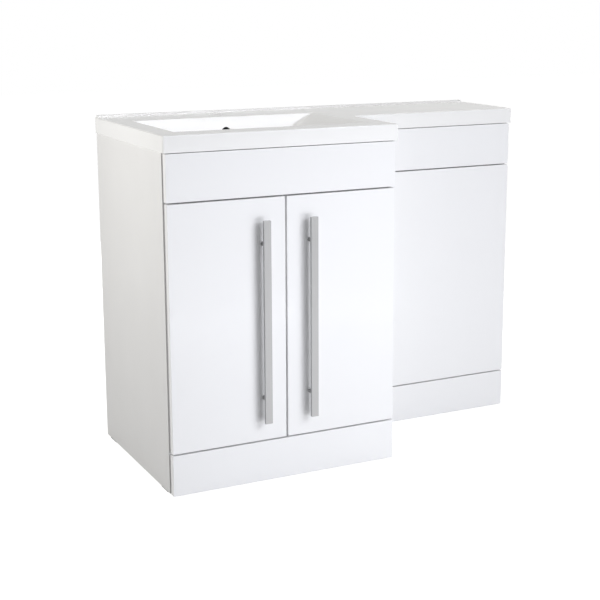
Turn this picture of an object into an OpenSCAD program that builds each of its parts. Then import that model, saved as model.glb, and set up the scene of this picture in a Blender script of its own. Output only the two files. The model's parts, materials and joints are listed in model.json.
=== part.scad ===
// L-shaped bathroom unit: a deep two-door vanity beside a shallow back-to-wall WC section, under one cast top.
// Millimetres. The floor is z = 0, the wall is y = 0, the front faces -Y and x = 0 is mid width.

/* [Overall] */
// Width of the worktop
top_w = 1100; // [1040:10:1300]
// Width of the worktop's deep basin section
basin_top_w = 602; // [580:2:680]
// Depth of the basin section from the wall
basin_top_d = 500; // [480:5:560]
// Depth of the WC section from the wall
wc_top_d = 260; // [230:5:320]
// Height of the worktop's surface above the floor
unit_h = 850; // [820:5:900]

/* [Worktop] */
// Height of the worktop's edge
top_t = 40; // [34:1:50]
// Thickness of the cast deck
deck_t = 14; // [10:1:18]
// Thickness of the skirt round the worktop's edge
skirt_t = 22; // [19:1:30]
// Radius along the worktop's upper edge
top_edge_r = 3; // [1:0.5:4.5]
// Radius along the worktop's lower edge
under_edge_r = 1.5; // [0.5:0.5:3]
// Radius of the worktop's upright corners
corner_r = 5; // [5:1:12]
// Radius of the hollow corner between the two sections
inner_corner_r = 28; // [15:1:40]
// Height of the raised lip along the wall
lip_h = 5; // [3:1:10]
// Thickness of the raised lip
lip_t = 10; // [6:1:18]
// Radius of the lip's rounded top
lip_r = 3; // [1:0.5:3]

/* [Basin] */
// Width of the bowl's mouth
bowl_w = 494; // [440:2:510]
// Depth of the bowl's mouth, front to back
bowl_d = 292; // [260:2:310]
// Width of the rim in front of the bowl
bowl_rim = 68; // [55:1:80]
// Depth of the bowl below the worktop
bowl_h = 115; // [95:1:130]
// Corner radius of the bowl's mouth
bowl_r = 12; // [8:1:30]
// Corner radius round the bowl's floor
bowl_floor_r = 44; // [30:1:60]
// How far in from each end of the mouth the shoulder lies, where the bowl's gentle slope turns steep
shoulder_in = 49; // [30:1:60]
// Depth of that shoulder below the worktop
shoulder_drop = 31; // [22:1:40]
// How far the bowl's ends lean in on the way down
bowl_lean_x = 105; // [90:1:125]
// How far the bowl's front and back lean in on the way down
bowl_lean_y = 22; // [10:1:32]
// Radius between the bowl's walls and floor
bowl_cove = 14; // [8:1:20]
// Fall of the bowl's floor to the waste
bowl_fall = 4; // [2:1:8]
// Rounding of the rim where it turns down into the bowl
bowl_lip = 4; // [2:0.5:6]
// Thickness of the bowl's walls
bowl_wall = 9; // [7:1:12]
// Diameter of the tap hole
tap_hole_d = 35; // [32:1:38]
// Distance of the tap hole from the wall
tap_set = 70; // [60:1:85]
// Width of the flat that the cast boss gives round the tap hole, underneath
tap_boss = 12; // [6:1:18]
// Diameter of the waste hole
waste_d = 46; // [42:1:50]
// Wall of the boss round the waste hole
waste_boss_wall = 12; // [8:1:16]
// Length of the waste boss below the bowl's floor
waste_boss_h = 20; // [14:1:30]
// Diameter of the overflow hole
overflow_d = 26; // [20:1:30]
// Distance of the overflow's centre below the worktop
overflow_drop = 39; // [36:1:50]
// Width of the channel that carries the overflow to the waste
duct_w = 44; // [36:1:60]
// Distance that the channel stands out from the bowl
duct_out = 16; // [12:1:22]
// Thickness of the channel's walls
duct_wall = 3; // [2:0.5:4]

/* [Cabinets] */
// Thickness of the carcass boards
board_t = 18; // [16:1:22]
// Thickness of the doors and front panels
front_t = 18; // [18:1:22]
// Width of the vanity carcass
vanity_w = 594; // [572:2:670]
// Overhang of the worktop past the carcass at each end
overhang = 4; // [2:1:8]
// Distance of the front panels' ends from the carcass's outer faces
reveal = 2; // [1:0.5:3]
// Distance of the front panels behind the worktop's front
front_set = 2; // [1:1:6]
// Gap between neighbouring front panels, and below the worktop
gap = 3; // [2:0.5:4]
// Gap between the backs of the front panels and the carcass
back_gap = 2.5; // [2:0.5:3.5]
// Rounding of the front panels' upright edges
front_edge_r = 1; // [0.5:0.5:2]
// Height of the plinth panels
plinth_h = 100; // [80:1:130]
// Gap between the plinth panels and the floor
plinth_clear = 2; // [1:1:4]
// Height of the fascia and of the upper WC panel
fascia_h = 109; // [90:1:140]
// How far the plinth panel laps over the base panel's front edge
base_lap = 2; // [1:1:6]
// How far the front rail reaches below the top of the doors
rail_lap = 15; // [12:1:20]
// Height of the rail behind the joint of the two WC panels
mid_rail_h = 65; // [45:5:90]
// Height of the rails along the wall
rear_rail_h = 90; // [70:5:120]
// Distance of the upper rear rails below the worktop
rear_rail_drop = 20; // [10:5:60]
// Depth of the WC section's flat rails
flat_rail_d = 80; // [60:5:100]
// Height of the shelf's upper face above the floor
shelf_top = 409; // [330:1:460]
// Depth of the shelf
shelf_d = 280; // [220:5:330]
// Distance of the shelf's back edge from the wall
shelf_back = 40; // [30:5:80]
// Gap between each end of the shelf and the carcass
shelf_gap = 1; // [0.5:0.5:2]

/* [Handles] */
// Length of the handle bars
handle_l = 490; // [400:5:540]
// Width of the handle bars
handle_w = 18; // [12:1:24]
// Thickness of the handle bars
handle_t = 8; // [6:1:12]
// Clear distance between the bar and the door
handle_off = 22; // [18:1:30]
// Distance between the two posts of a handle
handle_pitch = 374; // [300:2:380]
// Diameter of the posts
post_d = 10; // [8:1:12]
// Distance of the handle's centre from the door's meeting edge
handle_in = 59.5; // [40:0.5:80]

/* [Hinges] */
// Distance of the door's turning axis from its outer edge and from its front
axis_in = 6; // [5.5:0.5:6.5]
// Distance of the hinges from the door's ends
hinge_end = 100; // [80:5:130]
// Diameter of the hinge cups
cup_d = 34.8; // [34.5:0.1:35]
// Depth of the hinge cups
cup_h = 12.5; // [12.3:0.1:12.8]
// Distance of the cups' centres from the door's outer edge
cup_in = 22.5; // [22:0.5:23]
// Wall of the hinge cups
cup_wall = 1.2; // [1:0.1:1.3]
// Distance of the link's pivot from the side panel's inner face
link_in = 26; // [25.5:0.5:26.5]
// Distance of the link's pivot behind the carcass's front edge
link_back = 1.5; // [1.5:0.1:2]
// Distance of the mounting screws behind the carcass's front edge
plate_back = 37; // [35:1:40]

/* [Small parts] */
// Height of the glide feet under the side panels
glide_h = 4; // [3:1:6]
// Length of the glide feet
glide_l = 50; // [30:1:60]
// Distance of the glide feet from the ends of the side panels
glide_in = 18; // [10:1:40]
// Diameter of the shelf pins
pin_d = 5; // [5:1:6]
// Spacing of the shelf pin holes
pin_pitch = 32; // [25:1:40]
// Diameter of the cam fittings that draw the boards together
cam_d = 15; // [14:1:16]
// Depth of the cam fittings
cam_h = 12.5; // [11:0.5:13]
// Distance of the cam fittings from the ends of their board
cam_in = 24; // [20:1:34]
// Thickness of the steel brackets
bracket_t = 2; // [1.5:0.5:2]
// Width of the wall brackets
bracket_w = 30; // [24:1:40]
// Distance of the wall brackets' centres below the worktop
bracket_drop = 170; // [130:5:220]
// Diameter of the holes for the wall screws
wall_hole_d = 7; // [5:0.5:9]
// Distance of the wall holes from the side panels
wall_hole_in = 22; // [16:1:26]
// Diameter of the joining bolts between the two carcasses
bolt_d = 6; // [5:1:8]
// Distance of the joining bolts from the floor and from the worktop
bolt_rise = 250; // [150:10:300]
// Distance of the rear joining bolts from the wall
bolt_back = 60; // [50:5:80]
// Distance of the front joining bolts behind the WC section's front edges
bolt_front = 40; // [30:5:60]
// Distance of the fascia's screws from its middle
fascia_screw_out = 200; // [120:10:240]
// Distance of the fascia's screws and the upper panel's clips from its long edges
fascia_fix = 27; // [20:1:40]
// Distance of the lower panel's end clips from its ends
clip_end = 50; // [40:5:90]
// Radial clearance of a pin, screw or plug in its hole
fit = 0.05; // [0.03:0.01:0.1]

/* [Hidden] */
$fn = 48;
left_x = -top_w / 2;
right_x = top_w / 2;
step_x = left_x + basin_top_w;
edge_z = unit_h - top_t;
vanity_l = left_x + overhang;
vanity_r = vanity_l + vanity_w;
vanity_mid = (vanity_l + vanity_r) / 2;
wc_r = right_x - overhang;
front_y = front_set - basin_top_d;
carcass_y = front_y + front_t + back_gap;
wc_front_y = front_set - wc_top_d;
wc_carcass_y = wc_front_y + front_t + back_gap;
plinth_top = plinth_clear + plinth_h;
door_z = plinth_top + gap;
fascia_z = edge_z - gap - fascia_h;
door_top = fascia_z - gap;
door_h = door_top - door_z;
base_z = plinth_top - base_lap;
rail_z = door_top - rail_lap;
front_rail_h = edge_z - rail_z;
wc_mid_z = door_top + (gap - mid_rail_h) / 2;
rear_rail_z = edge_z - rear_rail_drop - rear_rail_h;
bracket_z = edge_z - bracket_drop;
door_w = (vanity_w - 2 * reveal - gap) / 2;
bowl_x = left_x + basin_top_w / 2;
bowl_y = bowl_rim + bowl_d / 2 - basin_top_d;
floor_z = unit_h - bowl_h;
waste_z = floor_z - bowl_fall;
boss_z = waste_z - waste_boss_h;
waste_boss_r = waste_d / 2 + waste_boss_wall;
steep_d = bowl_h - bowl_cove;
wall_share = 0.8;
shoulder_curve = 0.8;
shoulder_steps = [0, 0.3 * bowl_lip, bowl_lip, 0.42 * shoulder_drop, shoulder_drop];
overflow_slot = 18;
overflow_slot_h = 7;
hinge_zs = [door_z + hinge_end, door_top - hinge_end];
side_face = board_t - reveal;
link_pivot = [side_face + link_in, front_t + back_gap + link_back];
eps = 0.01;

// Points along an arc, from the angle a to the angle b in n steps
function arc(x, y, r, a, b, n) = [for (i = [0:n]) [x + r * cos(a + (b - a) * i / n), y + r * sin(a + (b - a) * i / n)]];

// Outline of a rectangle with rounded corners, centred on the origin
function rounded(w, d, r, n) = [for (q = [0:3])
    each arc((q == 0 || q == 3 ? 1 : -1) * (w / 2 - r), (q < 2 ? 1 : -1) * (d / 2 - r), r, 90 * q, 90 * q + 90, n)];

// A plain board from its lowest corner
module board(x, y, z, w, d, h) translate([x, y, z]) cube([w, d, h]);

// A front panel with its upright edges rounded, from its lowest corner
module front_panel(x, y, z, w, h)
    translate([x + w / 2, y + front_t / 2, z]) linear_extrude(h) polygon(rounded(w, front_t, front_edge_r, 4));

// A rod from y = a to y = b
module rod_y(x, z, r, a, b) translate([x, a, z]) rotate([-90, 0, 0]) cylinder(r = r, h = b - a);

// A rod from x = a to x = b
module rod_x(y, z, r, a, b) translate([a, y, z]) rotate([0, 90, 0]) cylinder(r = r, h = b - a);

// Worktop: cross-section of the outer strip, with the worktop's outside at x = corner_r
module edge_section() polygon(concat([[0, 0]],
    arc(corner_r - under_edge_r, under_edge_r, under_edge_r, -90, 0, 3),
    arc(corner_r - top_edge_r, top_t - top_edge_r, top_edge_r, 0, 90, 6), [[0, top_t]]));

// A straight run of the strip, along +X with its outside towards +Y
module edge_run(x, y, angle, length)
    translate([x, y, edge_z]) rotate(angle) rotate([90, 0, 90]) linear_extrude(length) edge_section();

// The strip turned round an upright corner
module edge_corner(x, y, angle) translate([x, y, edge_z]) rotate(angle) rotate_extrude(angle = 90) edge_section();

// The hollow corner between the sections: the strip turned the other way round a centre outside the worktop
module inner_corner() {
    reach = inner_corner_r + corner_r;
    translate([step_x + inner_corner_r, -wc_top_d - inner_corner_r, edge_z]) {
        rotate(90) rotate_extrude(angle = 90) translate([reach, 0]) mirror([1, 0]) edge_section();
        difference() {
            translate([-reach, 0, 0]) cube([reach, reach, top_t]);
            translate([0, 0, -1]) cylinder(r = reach, h = top_t + 2);
        }
    }
}

module top_body() {
    c = corner_r;
    inner = inner_corner_r;
    edge_run(left_x + c, -c, 0, top_w - 2 * c);
    edge_run(right_x - c, -c, -90, wc_top_d - 2 * c);
    edge_run(right_x - c, c - wc_top_d, 180, right_x - c - step_x - inner);
    edge_run(step_x - c, -wc_top_d - inner, -90, basin_top_d - wc_top_d - inner - c);
    edge_run(step_x - c, c - basin_top_d, 180, basin_top_w - 2 * c);
    edge_run(left_x + c, c - basin_top_d, 90, basin_top_d - 2 * c);
    edge_corner(right_x - c, -c, 0);
    edge_corner(left_x + c, -c, 90);
    edge_corner(left_x + c, c - basin_top_d, 180);
    edge_corner(step_x - c, c - basin_top_d, 270);
    edge_corner(right_x - c, c - wc_top_d, 270);
    inner_corner();
    board(left_x + c, c - basin_top_d, edge_z, basin_top_w - 2 * c, basin_top_d - 2 * c, top_t);
    board(step_x - c, c - wc_top_d, edge_z, right_x - step_x, wc_top_d - 2 * c, top_t);
}

// The raised lip along the wall, rounded along its top
module back_lip() {
    section = concat([[0, -1], [lip_t - top_edge_r - 1, -1], [lip_t, -top_edge_r - 1]],
        arc(lip_t - lip_r, lip_h - lip_r, lip_r, 0, 90, 5), arc(lip_r, lip_h - lip_r, lip_r, 90, 180, 5));
    translate([left_x + corner_r, -lip_t, unit_h]) rotate([90, 0, 90]) linear_extrude(top_w - 2 * corner_r)
        polygon(section);
}

// The space under the deck, inside the skirt, with a rib left where the two carcasses meet
module under_deck() {
    h = top_t - deck_t;
    board(left_x + skirt_t, skirt_t - basin_top_d, edge_z - 1, basin_top_w - 2 * skirt_t, basin_top_d - 2 * skirt_t, h + 1);
    board(wc_in_l, skirt_t - wc_top_d, edge_z - 1, right_x - skirt_t - wc_in_l, wc_top_d - 2 * skirt_t, h + 1);
}

// How far the bowl's ends have come in at a depth below the worktop: gently to the shoulder, then steeply
function end_in(d) = d < shoulder_drop ? (shoulder_in + bowl_lip) * pow(d / shoulder_drop, shoulder_curve) - bowl_lip
    : shoulder_in + (wall_share * bowl_lean_x - shoulder_in) * (d - shoulder_drop) / (steep_d - shoulder_drop);

// How far its front and back have come in: round the lip, then nearly upright
function side_in(d) = d < bowl_lip ? bowl_lip * (sqrt(1 - pow(1 - d / bowl_lip, 2)) - 1)
    : wall_share * bowl_lean_y * (d - bowl_lip) / (steep_d - bowl_lip);

// Its corner radius, which grows on the way down
function turn_r(d) = bowl_r + (bowl_floor_r - bowl_r) * sqrt(d / steep_d);

// A thin slice of the bowl at a height, drawn in at its ends and at its front and back
module bowl_slice(z, in_x, in_y, r)
    translate([0, 0, z]) linear_extrude(eps) polygon(rounded(bowl_w - 2 * in_x, bowl_d - 2 * in_y, r, 8));

// A slice of its wall at a depth below the worktop, moved out and down by grow
module wall_slice(d, grow) bowl_slice(unit_h - d - grow, end_in(d) - grow, side_in(d) - grow, turn_r(d) + grow);

// The bowl below its shoulder: the hollow where grow is 0, and its outside where grow is the wall
module bowl_low(grow) hull() {
    wall_slice(shoulder_drop, grow);
    wall_slice(steep_d, grow);
    bowl_slice(floor_z + bowl_cove / 3 - grow, bowl_lean_x + bowl_cove / 4 - grow, bowl_lean_y + bowl_cove / 4 - grow,
        bowl_floor_r - bowl_cove / 4 + grow);
    bowl_slice(floor_z - grow, bowl_lean_x + bowl_cove - grow, bowl_lean_y + bowl_cove - grow,
        bowl_floor_r - bowl_cove + grow);
    translate([0, 0, waste_z - grow]) cylinder(r = waste_d / 2 + 4 + grow, h = eps, $fn = 32);
}

// All that the bowl holds, up to the worktop's face
module bowl_hollow() translate([bowl_x, bowl_y, 0]) {
    for (i = [0:3]) hull() {
        wall_slice(shoulder_steps[i], 0);
        wall_slice(shoulder_steps[i + 1], 0);
    }
    bowl_low(0);
}

// The outside of the bowl, up into the deck
module bowl_shell() translate([bowl_x, bowl_y, 0]) {
    hull() {
        bowl_slice(unit_h - deck_t / 2, end_in(bowl_lip) - bowl_wall, -bowl_wall, turn_r(bowl_lip) + bowl_wall);
        wall_slice(shoulder_drop, bowl_wall);
    }
    bowl_low(bowl_wall);
}

module basin_top() color("white") difference() {
    union() {
        difference() {
            top_body();
            under_deck();
        }
        back_lip();
        bowl_shell();
        translate([bowl_x, bowl_y, boss_z]) cylinder(r = waste_boss_r, h = waste_boss_h);
        translate([bowl_x, -tap_set, edge_z + top_t / 2]) cylinder(d = tap_hole_d + 2 * tap_boss, h = top_t / 2 - 1);
    }
    bowl_hollow();
    translate([bowl_x, -tap_set, edge_z]) cylinder(d = tap_hole_d, h = top_t + 1);
    translate([bowl_x, bowl_y, boss_z - 1]) cylinder(d = waste_d, h = waste_boss_h + bowl_fall + 4);
    rod_y(bowl_x, unit_h - overflow_drop, overflow_d / 2, bowl_y + bowl_d / 4, bowl_y + bowl_d / 2 + bowl_wall + 1);
    board(bowl_x - overflow_slot / 2, bowl_y, boss_z + duct_wall, overflow_slot, waste_boss_r + 1, overflow_slot_h);
}

// The overflow channel's two legs, behind the bowl and under its floor, drawn in by inset
module duct_legs(inset) {
    near = bowl_y + waste_d / 2;
    rise = bowl_y + bowl_d / 4;
    back = bowl_y + bowl_d / 2 + bowl_wall + duct_out - inset;
    high = unit_h - overflow_drop + overflow_d / 2 + duct_wall - inset;
    low = boss_z + inset;
    wide = duct_w - 2 * inset;
    board(bowl_x - wide / 2, near, low, wide, back - near, waste_z - low);
    board(bowl_x - wide / 2, rise, low, wide, back - rise, high - low);
}

module overflow_duct() color("dimgray") difference() {
    duct_legs(0);
    duct_legs(duct_wall);
    bowl_shell();
    translate([bowl_x, bowl_y, boss_z - 1]) cylinder(r = waste_boss_r, h = waste_boss_h + 2);
}

// Cam fittings: each line is [x, y, z, turn], where turn 0 opens to the back, 180 to the front and 90 downwards
function cam_row(a, b, y, z, turn) = [[a + cam_in, y, z, turn], [b - cam_in, y, z, turn]];
vanity_in_l = vanity_l + board_t;
vanity_in_r = vanity_r - board_t;
wc_in_l = vanity_r + board_t;
wc_in_r = wc_r - board_t;
cam_set = 70;
base_cams = concat(cam_row(vanity_in_l, vanity_in_r, carcass_y + cam_set, base_z, 90),
    cam_row(vanity_in_l, vanity_in_r, -cam_set, base_z, 90));
front_rail_cams = cam_row(vanity_in_l, vanity_in_r, carcass_y + board_t, rail_z + front_rail_h / 2, 0);
rear_top_cams = cam_row(vanity_in_l, vanity_in_r, -board_t, rear_rail_z + rear_rail_h / 2, 180);
rear_bottom_cams = cam_row(vanity_in_l, vanity_in_r, -board_t, base_z + board_t + rear_rail_h / 2, 180);
wc_top_cams = cam_row(wc_in_l, wc_in_r, wc_carcass_y + flat_rail_d / 2, edge_z - board_t, 90);
wc_mid_cams = cam_row(wc_in_l, wc_in_r, wc_carcass_y + board_t, wc_mid_z + mid_rail_h / 2, 0);
wc_base_cams = cam_row(wc_in_l, wc_in_r, wc_carcass_y + flat_rail_d / 2, base_z, 90);
wc_rear_cams = cam_row(wc_in_l, wc_in_r, -board_t, rear_rail_z + rear_rail_h / 2, 180);

module cam_holes(list) for (c = list) translate([c[0], c[1], c[2]]) cam_turn(c[3]) translate([0, 0, -1])
    cylinder(r = cam_d / 2 + fit, h = cam_h + 1);

// Stands a cam so that +Z points into its board
module cam_turn(turn) if (turn == 90) children(); else rotate([turn == 0 ? 90 : -90, 0, 0]) children();

module cam_fittings() color("silver") for (c = concat(base_cams, front_rail_cams, rear_top_cams, rear_bottom_cams,
        wc_top_cams, wc_mid_cams, wc_base_cams, wc_rear_cams))
    translate([c[0], c[1], c[2]]) cam_turn(c[3]) difference() {
        cylinder(d = cam_d, h = cam_h);
        translate([-cam_d / 3, -0.75, -1]) cube([cam_d * 2 / 3, 1.5, 3]);
        translate([-0.75, -cam_d / 3, -1]) cube([1.5, cam_d * 2 / 3, 3]);
    }

// Shelf pins: their places along y and z, the middle row being the one in use
pin_set = 50;
pin_ys = [-shelf_back - pin_set, pin_set - shelf_back - shelf_d];
pin_z = shelf_top - board_t - pin_d / 2;
pin_in = 9;
pin_out = 8;

// Places of the bolts that join the two carcasses
bolt_yz = [for (y = [-bolt_back, wc_carcass_y + bolt_front], z = [bolt_rise, edge_z - bolt_rise]) [y, z]];

module side_board(x, y) board(x, y, glide_h, board_t, -y, edge_z - glide_h);

module vanity_side_left() color("white") difference() {
    side_board(vanity_l, carcass_y);
    for (y = pin_ys, k = [-1:1]) rod_x(y, pin_z + k * pin_pitch, pin_d / 2 + fit, vanity_in_l - pin_in, vanity_in_l + 1);
}

module vanity_side_right() color("white") difference() {
    side_board(vanity_in_r, carcass_y);
    for (y = pin_ys, k = [-1:1]) rod_x(y, pin_z + k * pin_pitch, pin_d / 2 + fit, vanity_in_r - 1, vanity_in_r + pin_in);
    for (p = bolt_yz) rod_x(p[0], p[1], bolt_d / 2 + fit, vanity_in_r - 1, vanity_r + 1);
}

module vanity_base() color("white") difference() {
    board(vanity_in_l, carcass_y, base_z, vanity_in_r - vanity_in_l, -carcass_y, board_t);
    cam_holes(base_cams);
}

module vanity_front_rail() color("white") difference() {
    board(vanity_in_l, carcass_y, rail_z, vanity_in_r - vanity_in_l, board_t, front_rail_h);
    cam_holes(front_rail_cams);
    for (p = fascia_xz) rod_y(p[0], p[1], fascia_screw_r + fit, carcass_y - 1, carcass_y + board_t + 1);
}

module vanity_rear_top_rail() color("white") difference() {
    board(vanity_in_l, -board_t, rear_rail_z, vanity_in_r - vanity_in_l, board_t, rear_rail_h);
    cam_holes(rear_top_cams);
}

module vanity_rear_bottom_rail() color("white") difference() {
    board(vanity_in_l, -board_t, base_z + board_t, vanity_in_r - vanity_in_l, board_t, rear_rail_h);
    cam_holes(rear_bottom_cams);
}

module vanity_shelf() color("white")
    board(vanity_in_l + shelf_gap, -shelf_back - shelf_d, shelf_top - board_t,
        vanity_in_r - vanity_in_l - 2 * shelf_gap, shelf_d, board_t);

module shelf_pins() color("silver") for (y = pin_ys) {
    rod_x(y, pin_z, pin_d / 2, vanity_in_l - pin_in, vanity_in_l + pin_out);
    rod_x(y, pin_z, pin_d / 2, vanity_in_r - pin_out, vanity_in_r + pin_in);
}

// The fascia is screwed from inside the rail, through spacers as thick as the gap behind the doors
fascia_screw_r = 2;
fascia_screw_in = 12;
spacer_r = 8;
head_r = 4;
head_h = 2.4;
fascia_zs = [fascia_z + fascia_fix, fascia_z + fascia_h - fascia_fix];
fascia_xz = [for (x = [-1, 1], z = fascia_zs) [vanity_mid + x * fascia_screw_out, z]];

module vanity_fascia() color("white") difference() {
    front_panel(vanity_l + reveal, front_y, fascia_z, vanity_w - 2 * reveal, fascia_h);
    for (p = fascia_xz) rod_y(p[0], p[1], fascia_screw_r + fit, front_y + front_t - fascia_screw_in, carcass_y);
}

module fascia_spacers() color("gainsboro") for (p = fascia_xz) difference() {
    rod_y(p[0], p[1], spacer_r, front_y + front_t, carcass_y);
    rod_y(p[0], p[1], fascia_screw_r + fit, front_y, carcass_y + 1);
}

module fascia_screws() color("silver") for (p = fascia_xz) {
    rod_y(p[0], p[1], fascia_screw_r, front_y + front_t - fascia_screw_in, carcass_y + board_t + 1);
    rod_y(p[0], p[1], head_r, carcass_y + board_t, carcass_y + board_t + head_h);
}

module vanity_plinth() color("white")
    front_panel(vanity_l + reveal, front_y, plinth_clear, vanity_w - 2 * reveal, plinth_h);

// A steel angle that holds a plinth panel to a side panel: x is the side's inner face, side is 1 or -1 inwards
plinth_bracket_w = 22;
plinth_bracket_d = 40;
plinth_bracket_h = 30;
module plinth_bracket(x, y, side) translate([x, y, plinth_clear + (plinth_h - plinth_bracket_h) / 2]) {
    translate([side > 0 ? 0 : -plinth_bracket_w, 0, 0]) cube([plinth_bracket_w, bracket_t, plinth_bracket_h]);
    translate([side > 0 ? 0 : -bracket_t, 0, 0]) cube([bracket_t, plinth_bracket_d, plinth_bracket_h]);
}

module plinth_brackets() color("silver") {
    plinth_bracket(vanity_in_l, front_y + front_t, 1);
    plinth_bracket(vanity_in_r, front_y + front_t, -1);
    plinth_bracket(wc_in_l, wc_front_y + front_t, 1);
    plinth_bracket(wc_in_r, wc_front_y + front_t, -1);
}

// Doors: both are drawn as the left-hand one, from their outer edge inwards, and mirrored for the right.
// In that frame x = 0 is the door's outer edge and y = 0 its front face.
module at_door(side)
    translate([side < 0 ? vanity_l + reveal : vanity_r - reveal, front_y, 0]) mirror([side < 0 ? 0 : 1, 0, 0]) children();

handle_x = door_w - handle_in;
handle_z = door_z + door_h / 2;
post_zs = [handle_z - handle_pitch / 2, handle_z + handle_pitch / 2];
screw_r = 2;
post_thread = 11;
buffer_zs = [base_z + board_t * 2 / 3, door_top - rail_lap / 2];

module door_leaf() difference() {
    front_panel(0, 0, door_z, door_w, door_h);
    for (z = hinge_zs) rod_y(cup_in, z, cup_d / 2 + fit, front_t - cup_h - fit, front_t + 1);
    for (z = post_zs) rod_y(handle_x, z, screw_r + fit, -1, front_t + 1);
}

module handle_bar() translate([handle_x, -handle_off - handle_t / 2, handle_z - handle_l / 2])
    linear_extrude(handle_l) polygon(rounded(handle_w, handle_t, 1, 4));

module handle_posts() for (z = post_zs) difference() {
    rod_y(handle_x, z, post_d / 2, -handle_off, 0);
    rod_y(handle_x, z, screw_r + fit, -post_thread - fit, 1);
}

module handle_screws() for (z = post_zs) {
    rod_y(handle_x, z, screw_r, -post_thread, front_t + 1);
    rod_y(handle_x, z, head_r, front_t, front_t + head_h);
}

buffer_in = 14;
buffer_r = 4;
buffer_squeeze = 0.3;
module door_buffers() for (z = buffer_zs)
    rod_y(door_w - buffer_in, z, buffer_r, front_t, front_t + back_gap - buffer_squeeze);

// A hinge cup: a thin round shell let into the door, with two wings for its screws
wing_w = 12;
wing_l = 52;
wing_t = 1;
wing_hole_r = 1.6;
module hinge_cups() for (z = hinge_zs) difference() {
    union() {
        rod_y(cup_in, z, cup_d / 2, front_t - cup_h, front_t + wing_t / 2);
        translate([cup_in - wing_w / 2, front_t, z - wing_l / 2]) cube([wing_w, wing_t, wing_l]);
    }
    rod_y(cup_in, z, cup_d / 2 - cup_wall, front_t - cup_h + cup_wall, front_t + 2 * wing_t);
    for (s = [-1, 1]) rod_y(cup_in, z + s * (wing_l / 2 - 4), wing_hole_r, front_t - 1, front_t + 2 * wing_t);
}

// The link's centre line, a smooth curve from its pivot, down into the open cup and up towards its outer wall
link_t = 2;
link_h = 9;
eye_r = 2.3;
pin_r = 1.2;
link_bend = [cup_in + 3.7, front_t + 0.2];
link_dip = [cup_in - 6.2, front_t - 15];
link_tip = [cup_in - 13.1, front_t - 7.8];
function link_at(t) = pow(1 - t, 3) * link_pivot + 3 * pow(1 - t, 2) * t * link_bend
    + 3 * (1 - t) * t * t * link_dip + pow(t, 3) * link_tip;
function link_side(t, s) = let (d = link_at(t + 0.01) - link_at(t - 0.01)) link_at(t) + s * [-d[1], d[0]] / norm(d);

module hinge_links() for (z = hinge_zs) translate([0, 0, z - link_h / 2]) difference() {
    union() {
        linear_extrude(link_h) polygon(concat([for (i = [0:14]) link_side(i / 14, link_t / 2)],
            [for (i = [14:-1:0]) link_side(i / 14, -link_t / 2)]));
        translate([link_pivot[0], link_pivot[1], 0]) cylinder(r = eye_r, h = link_h);
    }
    translate([link_pivot[0], link_pivot[1], -1]) cylinder(r = pin_r + fit, h = link_h + 2);
}

// The hinge arm on the carcass: two cheeks that carry the link's pin, joined along their back and foot
arm_half = 6.5;
cheek_t = 1.5;
arm_foot = [plate_back - 20, plate_back + 24];
plate_t = 2;

module arm_cheek() {
    foot = side_face + plate_t;
    y = front_t + back_gap;
    polygon([[foot, y + arm_foot[1]], [foot, y + arm_foot[0] + 10], link_pivot + [-1.8, -1.4], link_pivot + [1.8, 1.4],
        [foot + 15, y + arm_foot[0] + 14], [foot + 13, y + arm_foot[1]]]);
    translate(link_pivot) circle(r = eye_r);
}

module hinge_arm() {
    foot = side_face + plate_t;
    y = front_t + back_gap;
    difference() {
        for (z = [-arm_half, arm_half - cheek_t]) translate([0, 0, z]) linear_extrude(cheek_t) arm_cheek();
        translate([link_pivot[0], link_pivot[1], -20]) cylinder(r = pin_r + fit, h = 40);
    }
    translate([0, 0, -arm_half + cheek_t]) linear_extrude(2 * (arm_half - cheek_t)) {
        polygon([[foot + 13, y + arm_foot[1]], [foot + 15, y + arm_foot[0] + 14], [foot + 13.4, y + arm_foot[0] + 14],
            [foot + 11.4, y + arm_foot[1]]]);
        polygon([[foot, y + arm_foot[1]], [foot, y + arm_foot[0] + 12], [foot + 1.5, y + arm_foot[0] + 12],
            [foot + 1.5, y + arm_foot[1]]]);
    }
}

module hinge_arms() color("silver") for (side = [-1, 1], z = hinge_zs) at_door(side) translate([0, 0, z]) hinge_arm();

// The cross-shaped plate that each arm clips on to
plate_w = 16;
plate_h = 48;
plate_l = 40;
plate_screw = 16;
screw_head = 3.6;
screw_head_h = 1.6;
module hinge_plates() color("silver") for (side = [-1, 1], z = hinge_zs) at_door(side)
    translate([side_face, front_t + back_gap + plate_back, z]) difference() {
        union() {
            translate([0, -plate_w / 2, -plate_h / 2]) cube([plate_t, plate_w, plate_h]);
            translate([0, 2 - plate_l / 2, -arm_half]) cube([plate_t, plate_l, 2 * arm_half]);
        }
        for (s = [-1, 1]) translate([-1, 0, s * plate_screw]) rotate([0, 90, 0])
            cylinder(r = screw_r + fit, h = plate_t + 2);
    }

module hinge_pins() color("silver") for (side = [-1, 1], z = hinge_zs) at_door(side)
    translate([link_pivot[0], link_pivot[1], z - arm_half]) cylinder(r = pin_r, h = 2 * arm_half);

// Heads and exposed shanks of the mounting plates' screws, which stop at the board's face
module hinge_screws() color("silver") for (side = [-1, 1], z = hinge_zs, s = [-1, 1]) at_door(side)
    translate([side_face, front_t + back_gap + plate_back, z + s * plate_screw]) rotate([0, 90, 0]) {
        cylinder(r = screw_r, h = plate_t);
        translate([0, 0, plate_t]) cylinder(r1 = screw_head, r2 = screw_head - 0.6, h = screw_head_h);
    }

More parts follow.
